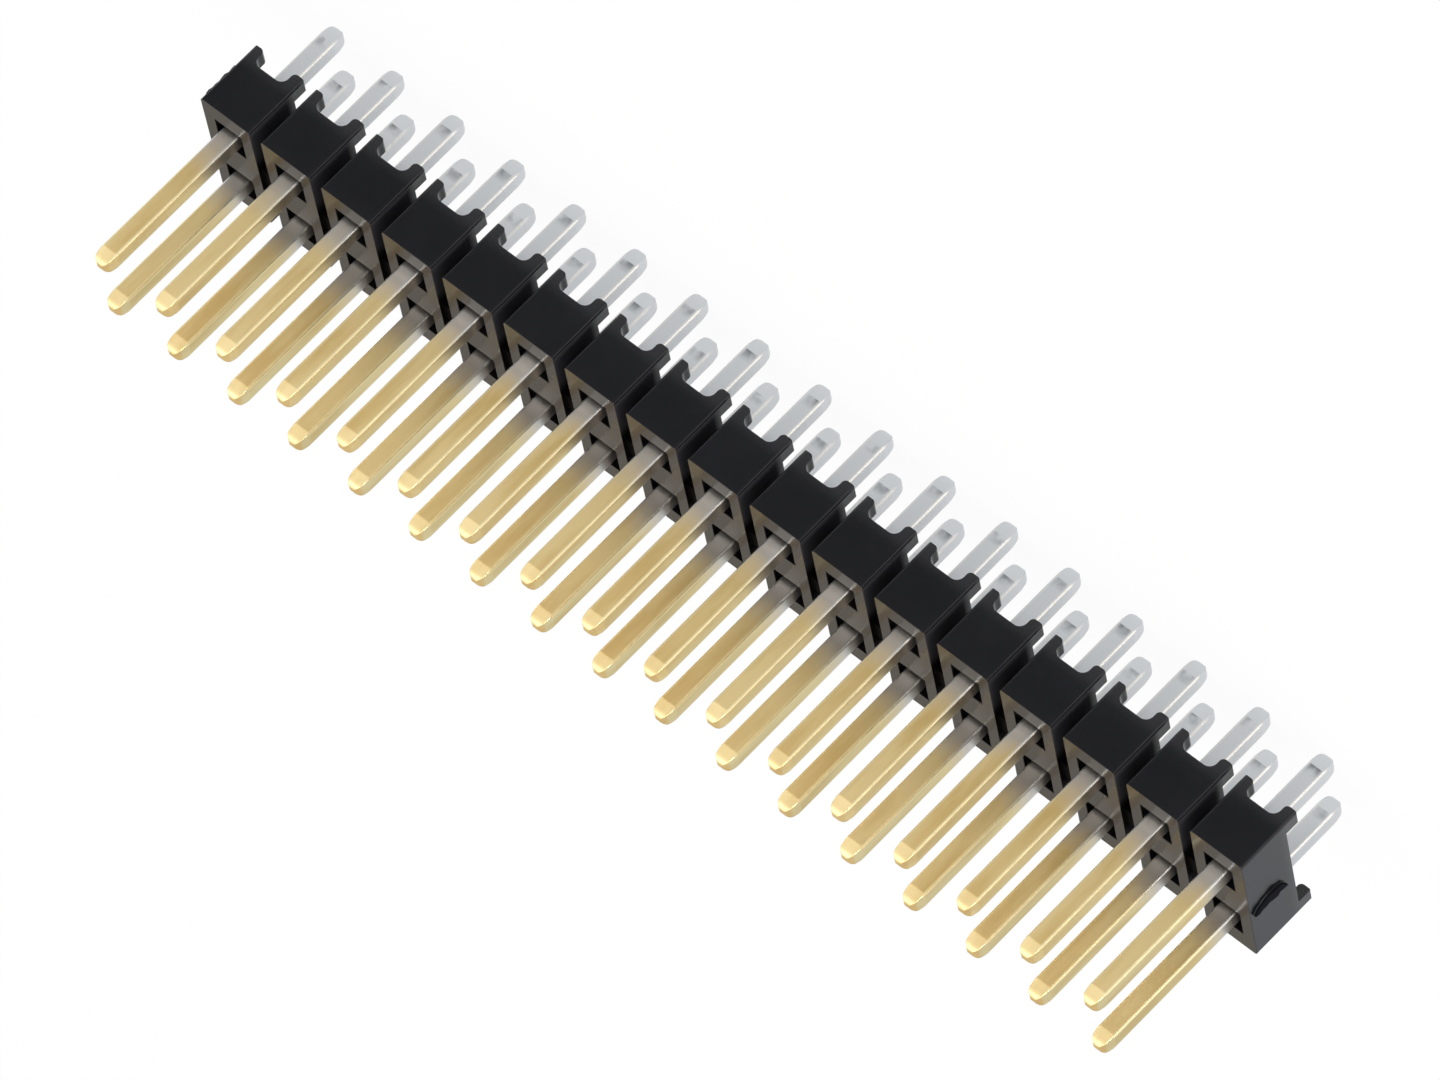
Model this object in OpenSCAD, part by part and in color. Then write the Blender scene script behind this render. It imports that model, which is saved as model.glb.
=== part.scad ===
// Pin header strip: two rows of square pins in a moulded insulator made of blocks that snap apart.
// The feet stand on z = 0, the board's surface. Mating pins point up, solder tails point down.
// The strip runs along X and is centred on X and Y.

/* [Layout] */
// Number of pin columns along the strip
columns = 17; // [2:1:29]
// Number of pin rows across the strip
rows = 2; // [1:1:2]
// Distance between neighbouring pins, along and across
pitch = 2.54; // [2.5:0.01:3]

/* [Insulator block] */
// Distance from the outer pin axes to the long faces
flank = 1.355; // [1.2:0.005:1.8]
// Thickness of a block between its tail face and its mating face
block_h = 1.92; // [1.6:0.02:3.5]
// Width of the slit between two blocks
slit_w = 0.48; // [0.3:0.02:0.7]
// Radius of a block's upright edges
edge_r = 0.12; // [0.04:0.01:0.18]

/* [Snap web] */
// Thickness of the web that joins two blocks, measured across the strip
web_t = 0.76; // [0.4:0.02:1.2]
// Depth of the web below the mating face
web_top_drop = 0.12; // [0.04:0.02:0.4]
// Height of the web above the tail face
web_tail_gap = 0.36; // [0.1:0.02:0.5]
// How far the torn stub of a web stands out of each end block
tear_out = 0.14; // [0.1:0.01:0.2]
// Greatest width of the torn stub, from the web's side; the rest tore off flush
tear_w = 0.46; // [0.3:0.02:0.6]
// How much narrower the torn stub gets towards the mating side
tear_lean = 0.18; // [0:0.02:0.2]
// Roughness of the torn stub, from its hollows to its peaks
tear_depth = 0.06; // [0.02:0.01:0.08]

/* [Edge flash] */
// How far the torn flash stands out of the first block
flash_out = 0.07; // [0.03:0.01:0.12]
// Thickness of the flash, measured across the strip
flash_t = 0.2; // [0.1:0.02:0.3]
// Length of the flash along the block's upright edge
flash_l = 1.3; // [0.5:0.05:1.5]

/* [Pockets] */
// Length of the pocket around each pin, along the strip
pocket_l = 1.14; // [0.8:0.02:1.4]
// Width of the pocket around each pin, across the strip
pocket_w = 1.2; // [0.8:0.02:1.6]
// Depth of the pocket below the mating face
pocket_d = 0.35; // [0.1:0.05:0.8]

/* [Feet] */
// Length of a foot along the strip
foot_l = 0.4; // [0.36:0.02:0.6]
// Thickness of a foot, measured across the strip
foot_t = 0.58; // [0.3:0.02:0.7]
// Height of a foot, which is the block's standoff from the board
foot_h = 0.54; // [0.4:0.02:1]
// Radius of the fillet where a foot meets the tail face
foot_root_r = 0.28; // [0.06:0.02:0.34]
// Radius of the foot's tip on its inner side
foot_tip_r = 0.15; // [0.1:0.01:0.2]
// Radius of the foot's tip on the side that is flush with the block
foot_corner_r = 0.05; // [0.02:0.01:0.08]

/* [Pins] */
// Width of the square pin
pin_w = 0.64; // [0.58:0.01:0.7]
// Radius of the pin's long edges
pin_edge_r = 0.08; // [0.03:0.01:0.1]
// Length of a pin above the mating face
mating_l = 5.84; // [3:0.02:12]
// Length of a pin below the board's surface
tail_l = 2.47; // [2:0.01:4]
// Play between the pin and its hole, zero for a pressed-in pin
pin_play = 0; // [0:0.01:0.05]

/* [Pin points] */
// Length of the taper at the mating end
mating_point_l = 0.55; // [0.4:0.01:1]
// Length of the taper at the tail end
tail_point_l = 0.6; // [0.4:0.01:1]
// Radius of the rounded nose at each end of a pin
nose_r = 0.27; // [0.16:0.01:0.28]

/* [Hidden] */
$fn = 32;

// Numbers and places of the pins
pin_count = rows * columns;
strip_l = (columns - 1) * pitch;
rows_w = (rows - 1) * pitch;

function pin_name(number) = str("pin_", number);
function column_x(column) = column * pitch - strip_l / 2;
function row_y(row) = row * pitch - rows_w / 2;

// Sizes of one block
block_l = pitch - slit_w;
block_w = rows_w + 2 * flank;
tail_face_z = foot_h;
mating_face_z = foot_h + block_h;

// Cuts run this far past the faces that they open
past = 0.5;

// Web between two blocks, and the steps of its torn ends
web_low_z = tail_face_z + web_tail_gap;
web_high_z = mating_face_z - web_top_drop;
web_h = web_high_z - web_low_z;
tear_steps = 9;

// Uneven but repeatable heights between 0 and 1 for the torn surfaces
function ragged(step) = (1 + sin(step * 151) * cos(step * 67 + 20)) / 2;

// Ends of a pin
tail_end_z = -tail_l;
mating_end_z = mating_face_z + mating_l;
nose_steps = 6;

// A rectangle with its four corners rounded by true arcs
module rounded_rectangle(size_x, size_y, radius) {
    square([size_x - 2 * radius, size_y], center = true);
    square([size_x, size_y - 2 * radius], center = true);
    for (side_x = [-1, 1], side_y = [-1, 1])
        translate([side_x * (size_x / 2 - radius), side_y * (size_y / 2 - radius)])
            circle(radius);
}

// Stands a profile drawn in X and Z upright, centred on Y
module across_strip(thickness) {
    rotate([90, 0, 0])
        linear_extrude(thickness, center = true)
            children();
}

// Stands a profile drawn in Y and Z upright, centred on X
module along_strip(length) {
    rotate([90, 0, 90])
        linear_extrude(length, center = true)
            children();
}

// A torn edge: solid from x = -root to x = reach, less its uneven hollows
module ragged_profile(root, reach, height) {
    polygon(concat(
        [[-root, 0]],
        [for (step = [0 : tear_steps])
            [reach - tear_depth * ragged(step), height * step / tear_steps]],
        [[-root, height]]
    ));
}

// Solid block around the pins of one column
module block_solid() {
    translate([0, 0, tail_face_z])
        linear_extrude(block_h)
            rounded_rectangle(block_l, block_w, edge_r);
}

// Profile of one foot with its root fillet, drawn with its outer side on x = 0
module foot_profile() {
    difference() {
        union() {
            translate([-foot_l, foot_tip_r])
                square([foot_l, foot_h - foot_tip_r]);
            translate([foot_tip_r - foot_l, foot_corner_r])
                square([foot_l - foot_tip_r, foot_h - foot_corner_r]);
            translate([foot_tip_r - foot_l, 0])
                square([foot_l - foot_tip_r - foot_corner_r, foot_h]);
            translate([foot_tip_r - foot_l, foot_tip_r])
                circle(foot_tip_r);
            translate([-foot_corner_r, foot_corner_r])
                circle(foot_corner_r);
            translate([-foot_l - foot_root_r, foot_h - foot_root_r])
                square([foot_root_r, foot_root_r]);
        }
        translate([-foot_l - foot_root_r, foot_h - foot_root_r])
            circle(foot_root_r);
    }
}

// The four feet of a block, held to the block's rounded outline
module block_feet() {
    intersection() {
        linear_extrude(mating_face_z)
            rounded_rectangle(block_l, block_w, edge_r);
        for (side_x = [0, 1], side_y = [-1, 1])
            translate([0, side_y * (block_w - foot_t) / 2, 0])
                mirror([side_x, 0, 0])
                    translate([block_l / 2, 0, 0])
                        across_strip(foot_t)
                            foot_profile();
    }
}

// Web that bridges one slit
module snap_web() {
    translate([-slit_w / 2 - edge_r, -web_t / 2, web_low_z])
        cube([slit_w + 2 * edge_r, web_t, web_h]);
}

// Width of the torn stub along its height: nothing at its ends and full between them
function stub_w(step) =
    (tear_w - tear_lean * step / tear_steps) * sqrt(sin(180 * step / tear_steps));

// What is left of the web on an end block: a ragged stub that stands along one side of the web
module torn_web() {
    intersection() {
        translate([block_l / 2, 0, web_low_z])
            across_strip(web_t)
                ragged_profile(edge_r, tear_out, web_h);
        translate([block_l / 2, -web_t / 2, web_low_z])
            linear_extrude(web_h)
                ragged_profile(edge_r, tear_out + tear_depth / 2, tear_w);
        translate([block_l / 2, -web_t / 2, web_low_z])
            along_strip(2 * (edge_r + tear_out))
                polygon([for (step = [0 : tear_steps]) [stub_w(step), web_h * step / tear_steps]]);
    }
}

// Thin torn flash on one upright edge of the first block
module edge_flash() {
    translate([block_l / 2, block_w / 2 - edge_r - flash_t / 2, web_low_z])
        across_strip(flash_t)
            ragged_profile(edge_r, flash_out, flash_l);
}

// Square hole of one pin and the pocket around it
module pin_cut() {
    linear_extrude(mating_face_z + past)
        rounded_rectangle(pin_w + 2 * pin_play, pin_w + 2 * pin_play, pin_edge_r + pin_play);
    translate([-pocket_l / 2, -pocket_w / 2, mating_face_z - pocket_d])
        cube([pocket_l, pocket_w, pocket_d + past]);
}

// Moulded insulator: blocks, feet, webs and the torn ends, less the pin holes
module insulator() {
    color("#26272b")
        difference() {
            union() {
                for (column = [0 : columns - 1])
                    translate([column_x(column), 0, 0]) {
                        block_solid();
                        block_feet();
                    }
                for (column = [1 : columns - 1])
                    translate([column_x(column) - pitch / 2, 0, 0])
                        snap_web();
                translate([column_x(columns - 1), 0, 0])
                    torn_web();
                translate([column_x(0), 0, 0])
                    mirror([1, 0, 0]) {
                        torn_web();
                        edge_flash();
                    }
            }
            for (column = [0 : columns - 1], row = [0 : rows - 1])
                translate([column_x(column), row_y(row), 0])
                    pin_cut();
        }
}

// Half outline of a pin's end, from the tip to the full width: the taper runs tangent into the nose
function end_outline(point_l) =
    let (
        taper_h = point_l - nose_r,
        lean = acos(nose_r / norm([pin_w / 2, taper_h])) - atan2(taper_h, pin_w / 2)
    )
    concat(
        [for (step = [1 : nose_steps])
            let (turn = -90 + (90 - lean) * step / nose_steps)
            [nose_r * cos(turn), nose_r * (1 + sin(turn))]],
        [[pin_w / 2, point_l]]
    );

// One side of a pin in side view, from the tail's nose up to the mating nose
function pin_side(side) =
    let (
        tail = end_outline(tail_point_l),
        mating = end_outline(mating_point_l)
    )
    concat(
        [for (point = tail) [side * point[0], tail_end_z + point[1]]],
        [for (place = [len(mating) - 1 : -1 : 0])
            [side * mating[place][0], mating_end_z - mating[place][1]]]
    );

// Side view of a pin, the same in both directions
module pin_profile() {
    left_side = pin_side(-1);
    polygon(concat(
        [[0, tail_end_z]],
        pin_side(1),
        [[0, mating_end_z]],
        [for (place = [len(left_side) - 1 : -1 : 0]) left_side[place]]
    ));
}

// Square pin with rounded long edges and a rounded point at each end
module contact_pin() {
    intersection() {
        translate([0, 0, tail_end_z])
            linear_extrude(mating_end_z - tail_end_z)
                rounded_rectangle(pin_w, pin_w, pin_edge_r);
        across_strip(pin_w)
            pin_profile();
        along_strip(pin_w)
            pin_profile();
    }
}

// Pin by its number: odd numbers on the first row, even numbers on the second when there are two
module numbered_pin(number) {
    column = floor((number - 1) / rows);
    row = (number - 1) % rows;
    color("#cdb479")
        translate([column_x(column), row_y(row), 0])
            contact_pin();
}

insulator();
for (number = [1 : pin_count])
    numbered_pin(number);
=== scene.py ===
"""Pin header strip: square plated pins in a black moulded insulator of snap-apart blocks."""
import logging
from collections.abc import Mapping, Sequence
from dataclasses import dataclass, field
from enum import Enum

import bpy
from mathutils import Matrix, Vector


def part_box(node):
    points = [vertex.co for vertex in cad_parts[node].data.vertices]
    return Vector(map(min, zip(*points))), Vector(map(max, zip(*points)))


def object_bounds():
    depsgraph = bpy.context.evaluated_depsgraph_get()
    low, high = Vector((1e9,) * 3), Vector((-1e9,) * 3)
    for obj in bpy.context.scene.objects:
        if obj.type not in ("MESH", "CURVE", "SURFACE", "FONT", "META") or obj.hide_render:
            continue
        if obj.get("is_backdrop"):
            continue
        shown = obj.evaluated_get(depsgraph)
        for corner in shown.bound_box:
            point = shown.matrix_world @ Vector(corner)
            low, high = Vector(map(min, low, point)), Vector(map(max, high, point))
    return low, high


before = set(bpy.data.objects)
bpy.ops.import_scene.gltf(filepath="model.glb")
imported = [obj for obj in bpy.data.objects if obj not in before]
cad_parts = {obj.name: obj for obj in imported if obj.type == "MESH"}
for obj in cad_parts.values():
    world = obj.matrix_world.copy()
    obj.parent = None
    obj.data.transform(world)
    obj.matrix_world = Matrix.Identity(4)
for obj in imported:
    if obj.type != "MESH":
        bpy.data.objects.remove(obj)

Tree = bpy.types.NodeTree
Node = bpy.types.Node
Socket = bpy.types.NodeSocket
Colour = tuple[float, float, float, float]
Span = tuple[float, float]

LOG = logging.getLogger("pin_header_strip")
MM = 0.001
# Blender's Mix node has its own sockets for each kind of data, and they are told by number.
COLOUR_A, COLOUR_B, COLOUR_OUT = 6, 7, 2
NUMBER_A, NUMBER_B = 2, 3


class Plating(Enum):
    """Metals that show on a pin, each with the colour that it mirrors white in, and the lighter
    and darker colours painted on them as highlights and shade.
    """

    TIN = "#cdd0d3"
    BARE_NICKEL = "#faf2e8"
    NICKEL = "#ddd3c5"
    GOLD = "#f7dda0"
    WORN_GOLD = "#e7c785"
    # Painted highlights for the long edges and points of the gold and the tin.
    BURNISHED_GOLD = "#ffeebc"
    BURNISHED_TIN = "#dcdcda"
    # Painted shade where the point of a tail begins.
    COINED_TIN = "#85888b"


def linear(hex_colour: str) -> Colour:
    """Turns an sRGB hex colour into the linear colour that a shader takes.

    Args:
        hex_colour: Colour such as "#26272b".

    Returns:
        Linear red, green, blue and an alpha of one.
    """
    parts = (int(hex_colour[place:place + 2], 16) / 255 for place in (1, 3, 5))
    red, green, blue = (
        part / 12.92 if part <= 0.04045 else ((part + 0.055) / 1.055) ** 2.4 for part in parts
    )
    return red, green, blue, 1.0


def add_node(
    tree: Tree,
    kind: str,
    inputs: Mapping[str | int, object] | None = None,
    **settings: object,
) -> Node:
    """Adds one node with its settings, plain input values and links.

    Args:
        tree: Node tree that gets the node.
        kind: Blender's type name of the node.
        inputs: Input names or numbers, each with a value, with the output socket that feeds it,
            or with a node whose first output feeds it.
        **settings: Properties of the node itself.

    Returns:
        The new node.
    """
    node = tree.nodes.new(kind)
    for name, value in settings.items():
        setattr(node, name, value)
    for name, value in (inputs or {}).items():
        feed = value.outputs[0] if isinstance(value, Node) else value
        if isinstance(feed, Socket):
            tree.links.new(feed, node.inputs[name])
        else:
            node.inputs[name].default_value = feed
    return node


def new_tree(name: str) -> tuple[bpy.types.Material, Tree]:
    """Makes a material with an empty node tree.

    Args:
        name: Name of the material.

    Returns:
        The material and its node tree.
    """
    material = bpy.data.materials.new(name)
    material.use_nodes = True
    material.node_tree.nodes.clear()
    return material, material.node_tree


def dress(piece: bpy.types.Object, material: bpy.types.Material) -> None:
    """Gives every slot of a piece one material.

    Args:
        piece: Object to dress.
        material: Material for it.
    """
    if not piece.material_slots:
        piece.data.materials.append(material)
    for slot in piece.material_slots:
        slot.material = material


def measure(tree: Tree) -> tuple[Socket, Socket, Socket, Socket]:
    """Adds the outputs that say where a point of the surface lies in the frame.

    Args:
        tree: Node tree that gets the nodes.

    Returns:
        The point as a vector, and its X, Y and Z, all in metres.
    """
    place = add_node(tree, "ShaderNodeTexCoord").outputs["Object"]
    split = add_node(tree, "ShaderNodeSeparateXYZ", {0: place}).outputs
    return place, split["X"], split["Y"], split["Z"]


def region(tree: Tree, *limits: tuple[Socket | Node, float, Span]) -> Node:
    """Adds the mask of a region of the surface, which is full where all its limits are.

    Args:
        tree: Node tree that gets the nodes.
        *limits: For each limit, what measures a place along some direction, the place of a face
            in metres, and how far beyond that face, in millimetres, the mask is none and full.

    Returns:
        The node whose output is the mask, from 0 to 1.
    """
    mask = None
    for place, face, (none_mm, full_mm) in limits:
        inputs = {"Value": place, "From Min": face + none_mm * MM, "From Max": face + full_mm * MM}
        limit = add_node(tree, "ShaderNodeMapRange", inputs)
        if mask is None:
            mask = limit
        else:
            mask = add_node(tree, "ShaderNodeMath", {0: mask, 1: limit}, operation="MULTIPLY")
    return mask


def colours_along(
    tree: Tree, place: Socket | Node, span: Span, stops: Sequence[tuple[float, Colour]]
) -> Socket:
    """Adds colours that change along a direction.

    Args:
        tree: Node tree that gets the nodes.
        place: What measures the place along the direction.
        span: Lowest and highest place that the colours are set over, in metres.
        stops: Places in metres, in rising order, each with its linear colour.

    Returns:
        The output with the colour.
    """
    low, high = span
    share = add_node(
        tree, "ShaderNodeMapRange", {"Value": place, "From Min": low, "From Max": high}
    )
    ramp = add_node(tree, "ShaderNodeValToRGB", {"Fac": share})
    elements = ramp.color_ramp.elements
    elements.remove(elements[1])
    for number, (level, colour) in enumerate(stops):
        position = (level - low) / (high - low)
        if number:
            element = elements.new(position)
        else:
            element = elements[0]
            element.position = position
        element.color = colour
    return ramp.outputs["Color"]


@dataclass(frozen=True)
class MouldedPolyester:
    """Black glass-filled polyester, injection moulded in a spark-eroded mould.

    It gives the eye a near-black with a soft sheen that rises to grey at a low angle, fine even
    grain, faint flow clouds, painted shade on dull slit walls, and coarse skin where the web was
    torn.
    A span says how far beyond a face, in millimetres, a look begins and is full.
    """

    end_wall_x: float
    pitch: float
    block_half: float
    tail_face_z: float
    long_face_y: float
    black: str = "#090a0d"
    cloud: str = "#0f1015"
    torn: str = "#15161a"
    # The slit and web colours are painted shade, laid flat on the slit walls between blocks.
    slit: str = "#303034"
    web: str = "#0d0c0c"
    ior: float = 1.55
    sheen_roughness: float = 0.18
    cloud_roughness: float = 0.27
    torn_roughness: float = 0.85
    pitted_share: float = 0.2
    long_face_share: float = 0.42
    dull_share: float = 0.96
    torn_span: Span = (0.01, 0.03)
    slit_wall_span: Span = (-0.006, -0.001)
    inner_span: Span = (-0.1, -0.2)
    over_feet_span: Span = (-0.05, 0.3)
    long_face_span: Span = (-0.03, -0.01)
    web_span: Span = (0.5, 0.0)
    web_mm: float = 0.6
    cloud_mm: float = 1.6
    cloud_detail: float = 3.0
    cloud_raggedness: float = 0.6
    grain_mm: float = 0.05
    grain_depth_mm: float = 0.0025
    grain_detail: float = 2.0
    torn_grain_mm: float = 0.12
    torn_depth_mm: float = 0.03
    torn_detail: float = 5.0
    edge_radius_mm: float = 0.03
    edge_samples: int = 6

    def build(self) -> bpy.types.Material:
        """Builds the material.

        Returns:
            The material.
        """
        material, tree = new_tree("black_moulded_polyester")
        place, x, y, z = measure(tree)
        along = add_node(tree, "ShaderNodeMath", {0: x}, operation="ABSOLUTE")
        aside = add_node(tree, "ShaderNodeMath", {0: y}, operation="ABSOLUTE")
        torn = region(tree, (along, self.end_wall_x, self.torn_span))
        over_feet = region(tree, (z, self.tail_face_z, self.over_feet_span))
        shaded_slit = self.add_slit_shade(tree, x, along, over_feet)
        colour, roughness = self.add_skin(tree, place, torn)
        normal = self.add_relief(tree, place, torn)
        glossy = add_node(
            tree,
            "ShaderNodeBsdfPrincipled",
            {"Base Color": colour, "Roughness": roughness, "IOR": self.ior, "Normal": normal},
        )
        # Painted shade in the slits: their walls turn to a flat dark colour without sheen.
        shaded_colour = self.add_slit_shade_colour(tree, aside, shaded_slit, colour)
        dull = add_node(tree, "ShaderNodeBsdfDiffuse", {"Color": shaded_colour, "Normal": normal})
        share = self.add_dull_share(tree, aside, over_feet, shaded_slit, torn)
        surface = add_node(tree, "ShaderNodeMixShader", {0: share, 1: glossy, 2: dull})
        add_node(tree, "ShaderNodeOutputMaterial", {"Surface": surface})
        return material

    def add_slit_shade(self, tree: Tree, x: Socket, along: Node, over_feet: Node) -> Node:
        """Adds the mask of the slit walls, which get painted shade: a flat dark colour without
        sheen.

        Args:
            tree: Node tree that gets the nodes.
            x: Place along the strip.
            along: Distance from the middle of the strip, along it.
            over_feet: Mask of all that is above the feet.

        Returns:
            The node whose output is the mask.
        """
        from_column = add_node(
            tree, "ShaderNodeMath", {0: x, 1: self.pitch / 2}, operation="PINGPONG"
        )
        walls = region(
            tree,
            (from_column, self.block_half, self.slit_wall_span),
            (along, self.end_wall_x, self.inner_span),
        )
        return add_node(tree, "ShaderNodeMath", {0: walls, 1: over_feet}, operation="MULTIPLY")

    def add_skin(self, tree: Tree, place: Socket, torn: Node) -> tuple[Socket, Node]:
        """Adds the colour and the gloss of the skin: cloudy black, coarser where it was torn.

        Args:
            tree: Node tree that gets the nodes.
            place: Point of the surface.
            torn: Mask of the torn places.

        Returns:
            The output with the colour and the node with the roughness.
        """
        cloud = add_node(
            tree,
            "ShaderNodeTexNoise",
            {
                "Vector": place,
                "Scale": 1 / (self.cloud_mm * MM),
                "Detail": self.cloud_detail,
                "Roughness": self.cloud_raggedness,
            },
        )
        skin = add_node(
            tree,
            "ShaderNodeMix",
            {"Factor": cloud, COLOUR_A: linear(self.black), COLOUR_B: linear(self.cloud)},
            data_type="RGBA",
        ).outputs[COLOUR_OUT]
        colour = add_node(
            tree,
            "ShaderNodeMix",
            {"Factor": torn, COLOUR_A: skin, COLOUR_B: linear(self.torn)},
            data_type="RGBA",
        ).outputs[COLOUR_OUT]
        moulded = add_node(
            tree,
            "ShaderNodeMapRange",
            {"Value": cloud, "To Min": self.sheen_roughness, "To Max": self.cloud_roughness},
        )
        roughness = add_node(
            tree,
            "ShaderNodeMix",
            {"Factor": torn, NUMBER_A: moulded, NUMBER_B: self.torn_roughness},
            data_type="FLOAT",
        )
        return colour, roughness

    def add_relief(self, tree: Tree, place: Socket, torn: Node) -> Node:
        """Adds the relief: softened edges, the grain of the mould and the fibres of a tear.

        Args:
            tree: Node tree that gets the nodes.
            place: Point of the surface.
            torn: Mask of the torn places.

        Returns:
            The node with the normal.
        """
        # The real spark-eroded grain is about 0.02 mm, drawn at 0.05 mm so that it shows.
        grain = add_node(
            tree,
            "ShaderNodeTexNoise",
            {"Vector": place, "Scale": 1 / (self.grain_mm * MM), "Detail": self.grain_detail},
        )
        fibre = add_node(
            tree,
            "ShaderNodeTexNoise",
            {"Vector": place, "Scale": 1 / (self.torn_grain_mm * MM), "Detail": self.torn_detail},
        )
        soft_edges = add_node(
            tree,
            "ShaderNodeBevel",
            {"Radius": self.edge_radius_mm * MM},
            samples=self.edge_samples,
        )
        grained = add_node(
            tree,
            "ShaderNodeBump",
            {
                "Height": grain,
                "Distance": self.grain_depth_mm * MM,
                "Strength": 1.0,
                "Normal": soft_edges,
            },
        )
        return add_node(
            tree,
            "ShaderNodeBump",
            {
                "Height": fibre,
                "Distance": self.torn_depth_mm * MM,
                "Strength": torn,
                "Normal": grained,
            },
        )

    def add_slit_shade_colour(self, tree: Tree, aside: Node, shaded_slit: Node, colour: Socket) -> Socket:
        """Adds the colour of the painted shade in the slits, darkest at the web.

        Args:
            tree: Node tree that gets the nodes.
            aside: Distance from the middle of the strip, across it.
            shaded_slit: Mask of the slit walls, which get painted shade.
            colour: Colour of the skin elsewhere.

        Returns:
            The output with the colour.
        """
        shade_at_web = region(tree, (aside, self.web_mm * MM, self.web_span))
        slit_shade_colour = add_node(
            tree,
            "ShaderNodeMix",
            {"Factor": shade_at_web, COLOUR_A: linear(self.slit), COLOUR_B: linear(self.web)},
            data_type="RGBA",
        ).outputs[COLOUR_OUT]
        return add_node(
            tree,
            "ShaderNodeMix",
            {"Factor": shaded_slit, COLOUR_A: colour, COLOUR_B: slit_shade_colour},
            data_type="RGBA",
        ).outputs[COLOUR_OUT]

    def add_dull_share(
        self, tree: Tree, aside: Node, over_feet: Node, shaded_slit: Node, torn: Node
    ) -> Node:
        """Adds how much of the sheen is lost, to painted shade in the slits, to torn places and to
        fine pits.

        Args:
            tree: Node tree that gets the nodes.
            aside: Distance from the middle of the strip, across it.
            over_feet: Mask of all that is above the feet.
            shaded_slit: Mask of the slit walls, which get painted shade.
            torn: Mask of the torn places.

        Returns:
            The node with the share, from 0 to 1.
        """
        # The pits are most on the long faces, and the feet have none.
        on_long_face = region(tree, (aside, self.long_face_y, self.long_face_span))
        pits = add_node(
            tree,
            "ShaderNodeMapRange",
            {"Value": on_long_face, "To Min": self.pitted_share, "To Max": self.long_face_share},
        )
        pitted = add_node(tree, "ShaderNodeMath", {0: over_feet, 1: pits}, operation="MULTIPLY")
        rough = add_node(tree, "ShaderNodeMath", {0: shaded_slit, 1: torn}, operation="MAXIMUM")
        dull = add_node(
            tree, "ShaderNodeMath", {0: rough, 1: self.dull_share}, operation="MULTIPLY"
        )
        return add_node(tree, "ShaderNodeMath", {0: pitted, 1: dull}, operation="MAXIMUM")


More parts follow.
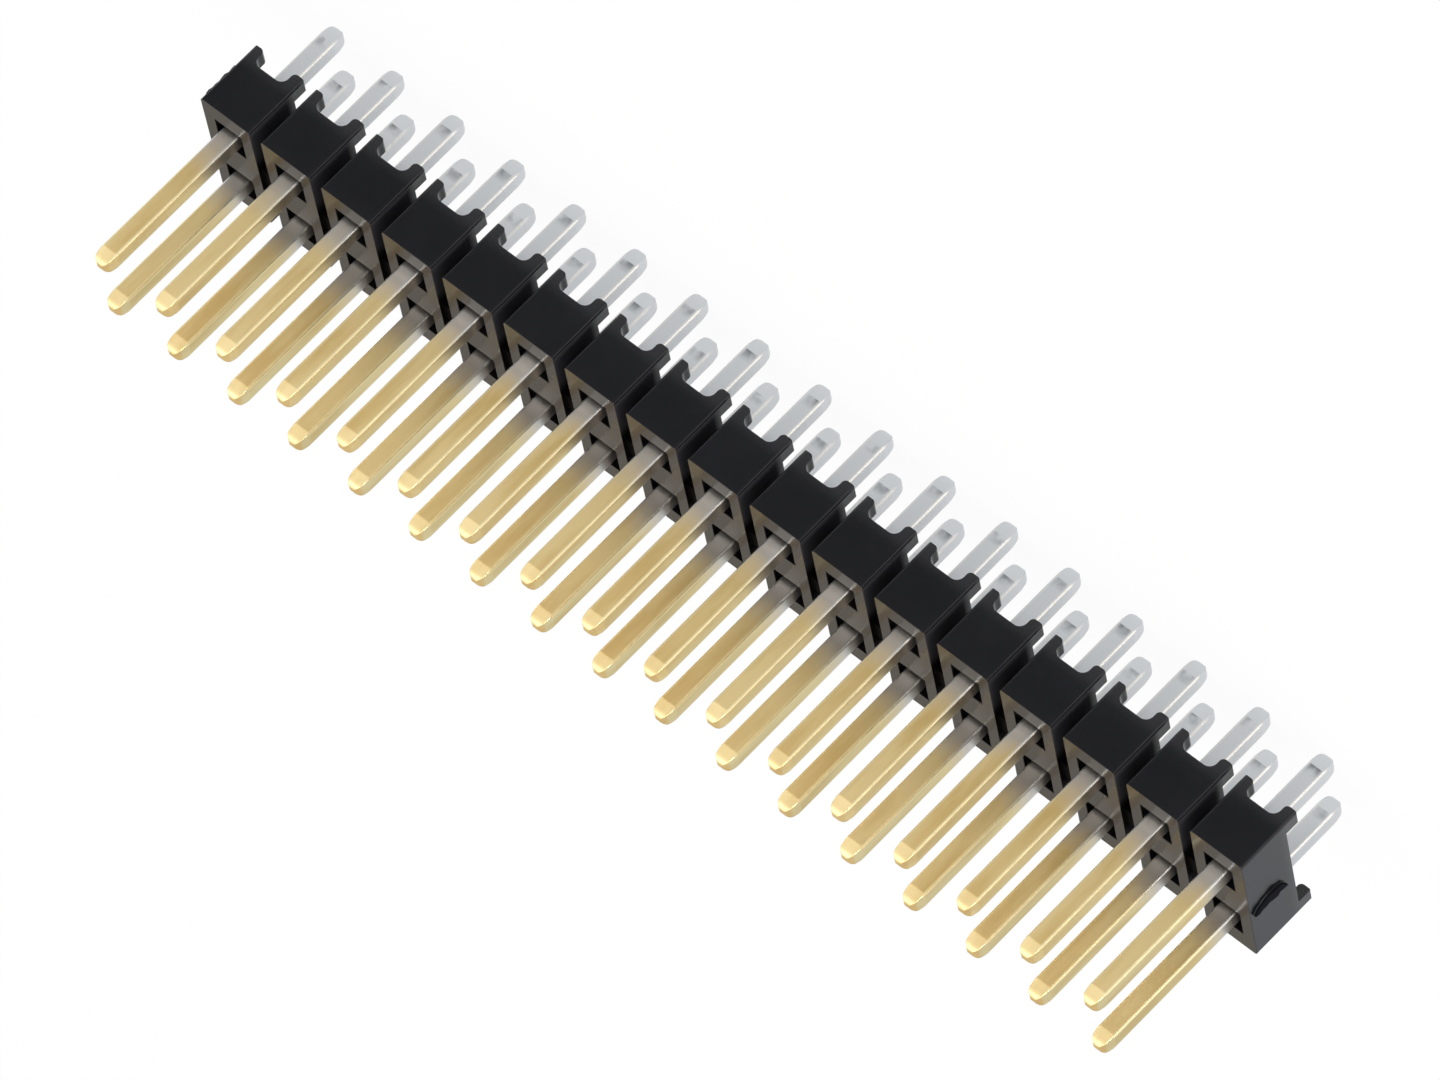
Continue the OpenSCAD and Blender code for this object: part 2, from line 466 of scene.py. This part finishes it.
@dataclass(frozen=True)
class PlatedBrass:
    """Drawn square brass wire, nickel plated, then gold plated on top and tinned below.

    It gives the eye warm gold mating ends that fade to grey nickel close to the insulator, pale
    milky tin on the tails, and faint lines along the wire from drawing.
    A span says how far beyond a face, in millimetres, a look begins and is full.
    """

    tail_z: float
    insulator_z: float
    tip_z: float
    pitch: float
    pin_half: float
    tin_mm: float = 0.9
    nickel_mm: float = 0.5
    fade_mm: float = 1.15
    uneven_mm: float = 0.5
    drift_mm: float = 2.0
    drift_detail: float = 1.0
    above_span: Span = (-1.0, 0.0)
    stain_mm: float = 0.7
    stain_length_mm: float = 3.5
    stain_detail: float = 3.0
    stain_range: Span = (0.4, 0.65)
    # Painted highlights: a brighter colour along the long edges and, less, on the points.
    edge_highlight_mm: float = 0.07
    edge_highlight_span: Span = (-0.03, 0.0)
    tip_highlight_span: Span = (-0.55, -0.5)
    tip_highlight_share: float = 0.3
    # Painted shade where the point of a tail begins, patchy from pin to pin.
    point_mm: float = 0.6
    before_point_span: Span = (0.4, 0.02)
    past_point_span: Span = (-0.02, 0.0)
    wide_face_span: Span = (-0.04, -0.01)
    inner_span: Span = (-0.05, -0.15)
    patch_mm: float = 0.5
    patch_detail: float = 2.0
    patch_range: Span = (0.36, 0.62)
    tin_roughness: float = 0.34
    gold_roughness: float = 0.26
    bloom_roughness: float = 0.12
    bloom_mm: float = 0.35
    bloom_depth_mm: float = 0.004
    bloom_detail: float = 3.0
    gold_bloom: float = 0.35
    line_mm: float = 0.03
    line_length_mm: float = 1.8
    line_depth_mm: float = 0.0018
    line_detail: float = 2.0
    edge_radius_mm: float = 0.04
    edge_samples: int = 4

    def build(self) -> bpy.types.Material:
        """Builds the material.

        Returns:
            The material.
        """
        material, tree = new_tree("plated_brass_wire")
        place, x, y, z = measure(tree)
        half_pitch = self.pitch / 2
        from_column = add_node(tree, "ShaderNodeMath", {0: x, 1: half_pitch}, operation="PINGPONG")
        from_middle = add_node(tree, "ShaderNodeMath", {0: y, 1: half_pitch}, operation="PINGPONG")
        from_row = add_node(
            tree, "ShaderNodeMath", {0: half_pitch, 1: from_middle}, operation="SUBTRACT"
        )
        above = region(tree, (z, self.insulator_z, self.above_span))
        height = self.add_height(tree, place, z)
        gold_span = (self.nickel_mm, self.nickel_mm + self.fade_mm)
        gilt = region(tree, (height, self.insulator_z, gold_span))
        plated = self.add_plating(tree, place, height, gilt)
        # Painted highlights on the long edges and the points.
        highlighted = self.add_painted_highlights(tree, z, (from_column, from_row), gilt, plated)
        # Painted shade where the point of a tail begins.
        colour = self.add_point_shade(tree, place, z, (from_column, from_row), highlighted)
        bloom = add_node(
            tree,
            "ShaderNodeTexNoise",
            {"Vector": place, "Scale": 1 / (self.bloom_mm * MM), "Detail": self.bloom_detail},
        )
        plain_roughness = add_node(
            tree,
            "ShaderNodeMapRange",
            {"Value": above, "To Min": self.tin_roughness, "To Max": self.gold_roughness},
        )
        roughness = add_node(
            tree,
            "ShaderNodeMath",
            {0: bloom, 1: self.bloom_roughness, 2: plain_roughness},
            operation="MULTIPLY_ADD",
        )
        normal = self.add_relief(tree, place, above, bloom)
        shader = add_node(
            tree,
            "ShaderNodeBsdfPrincipled",
            {"Base Color": colour, "Metallic": 1.0, "Roughness": roughness, "Normal": normal},
        )
        add_node(tree, "ShaderNodeOutputMaterial", {"Surface": shader})
        return material

    def add_height(self, tree: Tree, place: Socket, z: Socket) -> Node:
        """Adds the height that the platings follow, slowly uneven so that each pin differs.

        Args:
            tree: Node tree that gets the nodes.
            place: Point of the surface.
            z: Height of the point.

        Returns:
            The node with the height.
        """
        drift = add_node(
            tree,
            "ShaderNodeTexNoise",
            {"Vector": place, "Scale": 1 / (self.drift_mm * MM), "Detail": self.drift_detail},
        )
        uneven = self.uneven_mm * MM
        shift = add_node(
            tree, "ShaderNodeMapRange", {"Value": drift, "To Min": -uneven, "To Max": uneven}
        )
        return add_node(tree, "ShaderNodeMath", {0: z, 1: shift}, operation="ADD")

    def add_plating(self, tree: Tree, place: Socket, height: Node, gilt: Node) -> Socket:
        """Adds the colours of the platings, with soft stains of handling drawn along the gold.

        Args:
            tree: Node tree that gets the nodes.
            place: Point of the surface.
            height: Height that the platings follow.
            gilt: Mask of the gold.

        Returns:
            The output with the colour.
        """
        levels = (
            (-self.tin_mm, Plating.TIN),
            (0.0, Plating.BARE_NICKEL),
            (self.nickel_mm, Plating.NICKEL),
            (self.nickel_mm + self.fade_mm, Plating.GOLD),
        )
        stops = [
            (self.insulator_z + beyond * MM, linear(plating.value)) for beyond, plating in levels
        ]
        plain = colours_along(tree, height, (self.tail_z, self.tip_z), stops)
        across, along = 1 / (self.stain_mm * MM), 1 / (self.stain_length_mm * MM)
        stretched = add_node(
            tree, "ShaderNodeMapping", {"Vector": place, "Scale": (across, across, along)}
        )
        stain = add_node(
            tree,
            "ShaderNodeTexNoise",
            {"Vector": stretched, "Scale": 1.0, "Detail": self.stain_detail},
        )
        low, high = self.stain_range
        strong = add_node(
            tree, "ShaderNodeMapRange", {"Value": stain, "From Min": low, "From Max": high}
        )
        stained = add_node(tree, "ShaderNodeMath", {0: strong, 1: gilt}, operation="MULTIPLY")
        return add_node(
            tree,
            "ShaderNodeMix",
            {"Factor": stained, COLOUR_A: plain, COLOUR_B: linear(Plating.WORN_GOLD.value)},
            data_type="RGBA",
        ).outputs[COLOUR_OUT]

    def add_painted_highlights(
        self, tree: Tree, z: Socket, off_axis: tuple[Node, Node], gilt: Node, plated: Socket
    ) -> Socket:
        """Adds painted highlights: a brighter colour along the long edges and on the points.

        Args:
            tree: Node tree that gets the nodes.
            z: Height of the point.
            off_axis: Distances from the pin's axis, along the strip and across it.
            gilt: Mask of the gold.
            plated: Colour of the plating elsewhere.

        Returns:
            The output with the colour.
        """
        to_corner = add_node(tree, "ShaderNodeMath", dict(enumerate(off_axis)), operation="ADD")
        corner = 2 * self.pin_half - self.edge_highlight_mm * MM
        edges = region(tree, (to_corner, corner, self.edge_highlight_span))
        near_tip = region(tree, (z, self.tip_z, self.tip_highlight_span))
        tip_highlight = add_node(
            tree, "ShaderNodeMath", {0: near_tip, 1: self.tip_highlight_share}, operation="MULTIPLY"
        )
        share = add_node(tree, "ShaderNodeMath", {0: edges, 1: tip_highlight}, operation="MAXIMUM")
        bright = add_node(
            tree,
            "ShaderNodeMix",
            {
                "Factor": gilt,
                COLOUR_A: linear(Plating.BURNISHED_TIN.value),
                COLOUR_B: linear(Plating.BURNISHED_GOLD.value),
            },
            data_type="RGBA",
        ).outputs[COLOUR_OUT]
        return add_node(
            tree,
            "ShaderNodeMix",
            {"Factor": share, COLOUR_A: plated, COLOUR_B: bright},
            data_type="RGBA",
        ).outputs[COLOUR_OUT]

    def add_point_shade(
        self,
        tree: Tree,
        place: Socket,
        z: Socket,
        off_axis: tuple[Node, Node],
        highlighted: Socket,
    ) -> Socket:
        """Adds painted shade: a darker band where the point of a tail begins, more on some pins.

        Args:
            tree: Node tree that gets the nodes.
            place: Point of the surface.
            z: Height of the point.
            off_axis: Distances from the pin's axis, along the strip and across it.
            highlighted: Colour of the metal elsewhere, with its painted highlights.

        Returns:
            The output with the colour.
        """
        patches = add_node(
            tree,
            "ShaderNodeTexNoise",
            {"Vector": place, "Scale": 1 / (self.patch_mm * MM), "Detail": self.patch_detail},
        )
        low, high = self.patch_range
        uneven = add_node(
            tree, "ShaderNodeMapRange", {"Value": patches, "From Min": low, "From Max": high}
        )
        from_column, from_row = off_axis
        point_z = self.tail_z + self.point_mm * MM
        # The painted shade lies where the point begins, on the wide faces only and off their
        # corners.
        band = region(
            tree,
            (z, point_z, self.before_point_span),
            (z, point_z, self.past_point_span),
            (from_row, self.pin_half, self.wide_face_span),
            (from_column, self.pin_half, self.inner_span),
        )
        point_shade = add_node(tree, "ShaderNodeMath", {0: uneven, 1: band}, operation="MULTIPLY")
        return add_node(
            tree,
            "ShaderNodeMix",
            {"Factor": point_shade, COLOUR_A: highlighted, COLOUR_B: linear(Plating.COINED_TIN.value)},
            data_type="RGBA",
        ).outputs[COLOUR_OUT]

    def add_relief(self, tree: Tree, place: Socket, above: Node, bloom: Node) -> Node:
        """Adds the relief: softened edges, dimples of the bloom and lines along the wire.

        Args:
            tree: Node tree that gets the nodes.
            place: Point of the surface.
            above: Mask of the mating end.
            bloom: Noise of the bloom.

        Returns:
            The node with the normal.
        """
        across, along = 1 / (self.line_mm * MM), 1 / (self.line_length_mm * MM)
        wire = add_node(
            tree, "ShaderNodeMapping", {"Vector": place, "Scale": (across, across, along)}
        )
        # Drawing lines are a few microns apart in life, drawn at 0.03 mm so that they show.
        lines = add_node(
            tree, "ShaderNodeTexNoise", {"Vector": wire, "Scale": 1.0, "Detail": self.line_detail}
        )
        # Tin blooms into a faintly dimpled, milky skin; the gold stays smoother.
        bloom_strength = add_node(
            tree, "ShaderNodeMapRange", {"Value": above, "To Min": 1.0, "To Max": self.gold_bloom}
        )
        soft_edges = add_node(
            tree,
            "ShaderNodeBevel",
            {"Radius": self.edge_radius_mm * MM},
            samples=self.edge_samples,
        )
        dimpled = add_node(
            tree,
            "ShaderNodeBump",
            {
                "Height": bloom,
                "Distance": self.bloom_depth_mm * MM,
                "Strength": bloom_strength,
                "Normal": soft_edges,
            },
        )
        return add_node(
            tree,
            "ShaderNodeBump",
            {
                "Height": lines,
                "Distance": self.line_depth_mm * MM,
                "Strength": 1.0,
                "Normal": dimpled,
            },
        )


@dataclass
class Insulator:
    """The moulded insulator: blocks, feet, snap webs and torn ends in one piece."""

    node: str = "insulator"
    pitch_mm: float = 2.54
    block_half_mm: float = 1.03
    tail_face_mm: float = 0.54
    columns: int = 17
    piece: bpy.types.Object = field(init=False)

    def build(self) -> None:
        """Takes the solid as it stands in the frame."""
        self.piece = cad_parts[self.node]

    def dress(self) -> None:
        """Gives the solid its moulded finish, torn beyond the walls of the end blocks."""
        wall = (self.columns - 1) / 2 * self.pitch_mm + self.block_half_mm
        finish = MouldedPolyester(
            end_wall_x=wall * MM,
            pitch=self.pitch_mm * MM,
            block_half=self.block_half_mm * MM,
            tail_face_z=self.tail_face_mm * MM,
            long_face_y=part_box(self.node)[1].y,
        )
        dress(self.piece, finish.build())


@dataclass
class Pins:
    """All the pins of the strip, which share one finish."""

    insulator: str = "insulator"
    prefix: str = "pin_"
    pitch_mm: float = 2.54
    pieces: list[bpy.types.Object] = field(default_factory=list)

    def build(self) -> None:
        """Takes the pins as they stand in the frame."""
        names = [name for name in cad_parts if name.startswith(self.prefix)]
        self.pieces = [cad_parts[name] for name in sorted(names)]

    def dress(self) -> None:
        """Gives the pins their plating, measured from the insulator's mating face."""
        low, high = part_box(self.pieces[0].name)
        finish = PlatedBrass(
            tail_z=low.z,
            insulator_z=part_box(self.insulator)[1].z,
            tip_z=high.z,
            pitch=self.pitch_mm * MM,
            pin_half=(high.x - low.x) / 2,
        ).build()
        for piece in self.pieces:
            dress(piece, finish)


@dataclass(frozen=True)
class StudioPaper:
    """Matt white studio paper, which stays white to the camera and keeps a light shadow.

    What the object mirrors of it is bright behind the strip and dimmer in front of it, where the
    room is darker. Each line of mirrored is a place across the strip in millimetres, the light
    there and its tint.
    """

    white: str = "#f4f4f4"
    undimmed: str = "#ffffff"
    glow_share: float = 0.95
    mirrored: tuple[tuple[float, float, str], ...] = (
        (-18.5, 0.78, "#e9f5ff"),
        (-15.0, 0.9, "#f4f9ff"),
        (-9.0, 0.86, "#f8fbff"),
        (-4.0, 0.95, "#ffffff"),
        (1.0, 1.03, "#ffffff"),
        (4.0, 0.8, "#ffffff"),
        (7.2, 0.92, "#ffffff"),
        (9.2, 1.0, "#ffffff"),
        (11.0, 0.2, "#e8eeff"),
        (14.7, 0.17, "#e8eeff"),
        (17.6, 0.5, "#ffffff"),
        (24.0, 0.61, "#ffffff"),
        (30.0, 0.69, "#ffffff"),
        (60.0, 1.0, "#ffffff"),
    )

    def build(self) -> bpy.types.Material:
        """Builds the material.

        Returns:
            The material.
        """
        material, tree = new_tree("white_studio_paper")
        path = add_node(tree, "ShaderNodeLightPath").outputs
        shown = path["Is Camera Ray"]
        for ray in ("Is Glossy Ray", "Is Transmission Ray"):
            shown = add_node(
                tree, "ShaderNodeMath", {0: shown, 1: path[ray]}, operation="MAXIMUM"
            ).outputs[0]
        share = add_node(
            tree, "ShaderNodeMath", {0: shown, 1: self.glow_share}, operation="MULTIPLY"
        )
        paper = add_node(tree, "ShaderNodeBsdfDiffuse", {"Color": linear(self.white)})
        glow = self.add_glow(tree, path["Is Glossy Ray"])
        surface = add_node(tree, "ShaderNodeMixShader", {0: share, 1: paper, 2: glow})
        # Seen from below the paper is clear, so that the tails can be looked at from there.
        clear = add_node(tree, "ShaderNodeBsdfTransparent")
        below = add_node(tree, "ShaderNodeNewGeometry").outputs["Backfacing"]
        sided = add_node(tree, "ShaderNodeMixShader", {0: below, 1: surface, 2: clear})
        add_node(tree, "ShaderNodeOutputMaterial", {"Surface": sided})
        return material

    def add_glow(self, tree: Tree, mirrored: Socket) -> Node:
        """Adds the paper as it is shown: white to the camera, dimmed where it is mirrored.

        Args:
            tree: Node tree that gets the nodes.
            mirrored: Output that is one for what the object mirrors.

        Returns:
            The node with the light.
        """
        _, _, across, _ = measure(tree)
        stops = []
        for level, light, tint in self.mirrored:
            red, green, blue, alpha = linear(tint)
            stops.append((level * MM, (light * red, light * green, light * blue, alpha)))
        dimmed = colours_along(tree, across, (stops[0][0], stops[-1][0]), stops)
        colour = add_node(
            tree,
            "ShaderNodeMix",
            {"Factor": mirrored, COLOUR_A: linear(self.undimmed), COLOUR_B: dimmed},
            data_type="RGBA",
        ).outputs[COLOUR_OUT]
        return add_node(tree, "ShaderNodeEmission", {"Color": colour, "Strength": 1.0})


@dataclass(frozen=True)
class Lamp:
    """One soft square lamp that points at the strip."""

    name: str
    place: tuple[float, float, float]
    size: float
    watts: float
    colour: str = "#ffffff"

    def build(self) -> None:
        """Makes the lamp."""
        data = bpy.data.lights.new(self.name, "AREA")
        data.size = self.size
        data.energy = self.watts
        data.color = linear(self.colour)[:3]
        lamp = bpy.data.objects.new(self.name, data)
        lamp.location = self.place
        lamp.rotation_euler = (-Vector(self.place)).to_track_quat("-Z", "Y").to_euler()
        bpy.context.scene.collection.objects.link(lamp)


@dataclass
class Studio:
    """White paper floor, a white surround and soft lamps.

    The surround dims and warms from its back to its front where the object mirrors it, and
    front_to_back says between which directions across the strip.
    """

    floor_half: float = 1.5
    surround: str = "#ffffff"
    front_tint: str = "#fff3e2"
    surround_light: float = 0.7
    mirrored_front: float = 0.64
    mirrored_back: float = 1.05
    front_to_back: Span = (-0.5, 0.3)
    lamps: tuple[Lamp, ...] = (
        Lamp("key_lamp", (0.45, 0.05, 0.30), 0.45, 1.1),
        Lamp("top_lamp", (-0.15, 0.20, 0.55), 0.58, 1.0),
        Lamp("edge_lamp", (0.27, 0.13, 0.03), 0.08, 0.5, "#fff4e4"),
    )

    def build(self) -> None:
        """Makes the floor under the lowest point of the strip, the surround and the lamps."""
        self.build_floor(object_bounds()[0].z)
        self.build_surround()
        for lamp in self.lamps:
            lamp.build()

    def build_floor(self, level: float) -> None:
        """Makes the floor.

        Args:
            level: Height of the floor.
        """
        half = self.floor_half
        mesh = bpy.data.meshes.new("paper_floor")
        corners = [(x * half, y * half, level) for x, y in ((-1, -1), (1, -1), (1, 1), (-1, 1))]
        mesh.from_pydata(corners, [], [(0, 1, 2, 3)])
        floor = bpy.data.objects.new("paper_floor", mesh)
        bpy.context.scene.collection.objects.link(floor)
        dress(floor, StudioPaper().build())
        floor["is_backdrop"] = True

    def build_surround(self) -> None:
        """Makes the world: white where it is seen, dimmer where it lights or is mirrored."""
        world = bpy.data.worlds.new("white_surround")
        bpy.context.scene.world = world
        world.use_nodes = True
        tree = world.node_tree
        tree.nodes.clear()
        path = add_node(tree, "ShaderNodeLightPath").outputs
        seen = add_node(
            tree,
            "ShaderNodeMapRange",
            {"Value": path["Is Diffuse Ray"], "To Min": 1.0, "To Max": self.surround_light},
        )
        towards = add_node(tree, "ShaderNodeTexCoord").outputs["Generated"]
        across = add_node(tree, "ShaderNodeSeparateXYZ", {0: towards}).outputs["Y"]
        front, back = self.front_to_back
        to_back = add_node(
            tree, "ShaderNodeMapRange", {"Value": across, "From Min": front, "From Max": back}
        )
        mirrored = add_node(
            tree,
            "ShaderNodeMapRange",
            {"Value": to_back, "To Min": self.mirrored_front, "To Max": self.mirrored_back},
        )
        strength = add_node(
            tree,
            "ShaderNodeMix",
            {"Factor": path["Is Glossy Ray"], NUMBER_A: seen, NUMBER_B: mirrored},
            data_type="FLOAT",
        )
        to_front = add_node(tree, "ShaderNodeMath", {0: 1.0, 1: to_back}, operation="SUBTRACT")
        warm = add_node(
            tree, "ShaderNodeMath", {0: path["Is Glossy Ray"], 1: to_front}, operation="MULTIPLY"
        )
        colour = add_node(
            tree,
            "ShaderNodeMix",
            {"Factor": warm, COLOUR_A: linear(self.surround), COLOUR_B: linear(self.front_tint)},
            data_type="RGBA",
        ).outputs[COLOUR_OUT]
        background = add_node(
            tree, "ShaderNodeBackground", {"Color": colour, "Strength": strength}
        )
        add_node(tree, "ShaderNodeOutputWorld", {"Surface": background})


@dataclass(frozen=True)
class PhotographCamera:
    """Camera fitted to the grid of pins in the photograph, for a frame of 1440 by 1080 pixels."""

    place: tuple[float, float, float] = (0.230608, 0.469924, 0.171633)
    right: tuple[float, float, float] = (0.729295, -0.115247, -0.674423)
    down: tuple[float, float, float] = (0.541099, -0.506114, 0.671610)
    focal_pixels: float = 18317.0
    frame_pixels: float = 1440.0
    sensor_mm: float = 36.0
    nearest: float = 0.05
    farthest: float = 10.0

    def build(self) -> None:
        """Makes the camera and hands it to the scene."""
        data = bpy.data.cameras.new("photograph_camera")
        data.sensor_width = self.sensor_mm
        data.lens = self.focal_pixels / self.frame_pixels * self.sensor_mm
        data.clip_start = self.nearest
        data.clip_end = self.farthest
        camera = bpy.data.objects.new("photograph_camera", data)
        bpy.context.scene.collection.objects.link(camera)
        right = Vector(self.right).normalized()
        up = -Vector(self.down).normalized()
        back = right.cross(up)
        turn = Matrix((right, up, back)).transposed()
        camera.matrix_world = Matrix.Translation(self.place) @ turn.to_4x4()
        bpy.context.scene.camera = camera


def main() -> None:
    """Builds and dresses the strip, then the studio and the camera."""
    logging.basicConfig(level=logging.INFO, format="%(message)s")
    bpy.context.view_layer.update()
    for assembly in (Insulator(), Pins()):
        assembly.build()
        assembly.dress()
        LOG.info("%s is dressed", type(assembly).__name__)
    Studio().build()
    LOG.info("studio is set")
    PhotographCamera().build()
    LOG.info("camera is set")


if __name__ == "__main__":
    bpy.context.scene.view_settings.view_transform = "Standard"
    main()
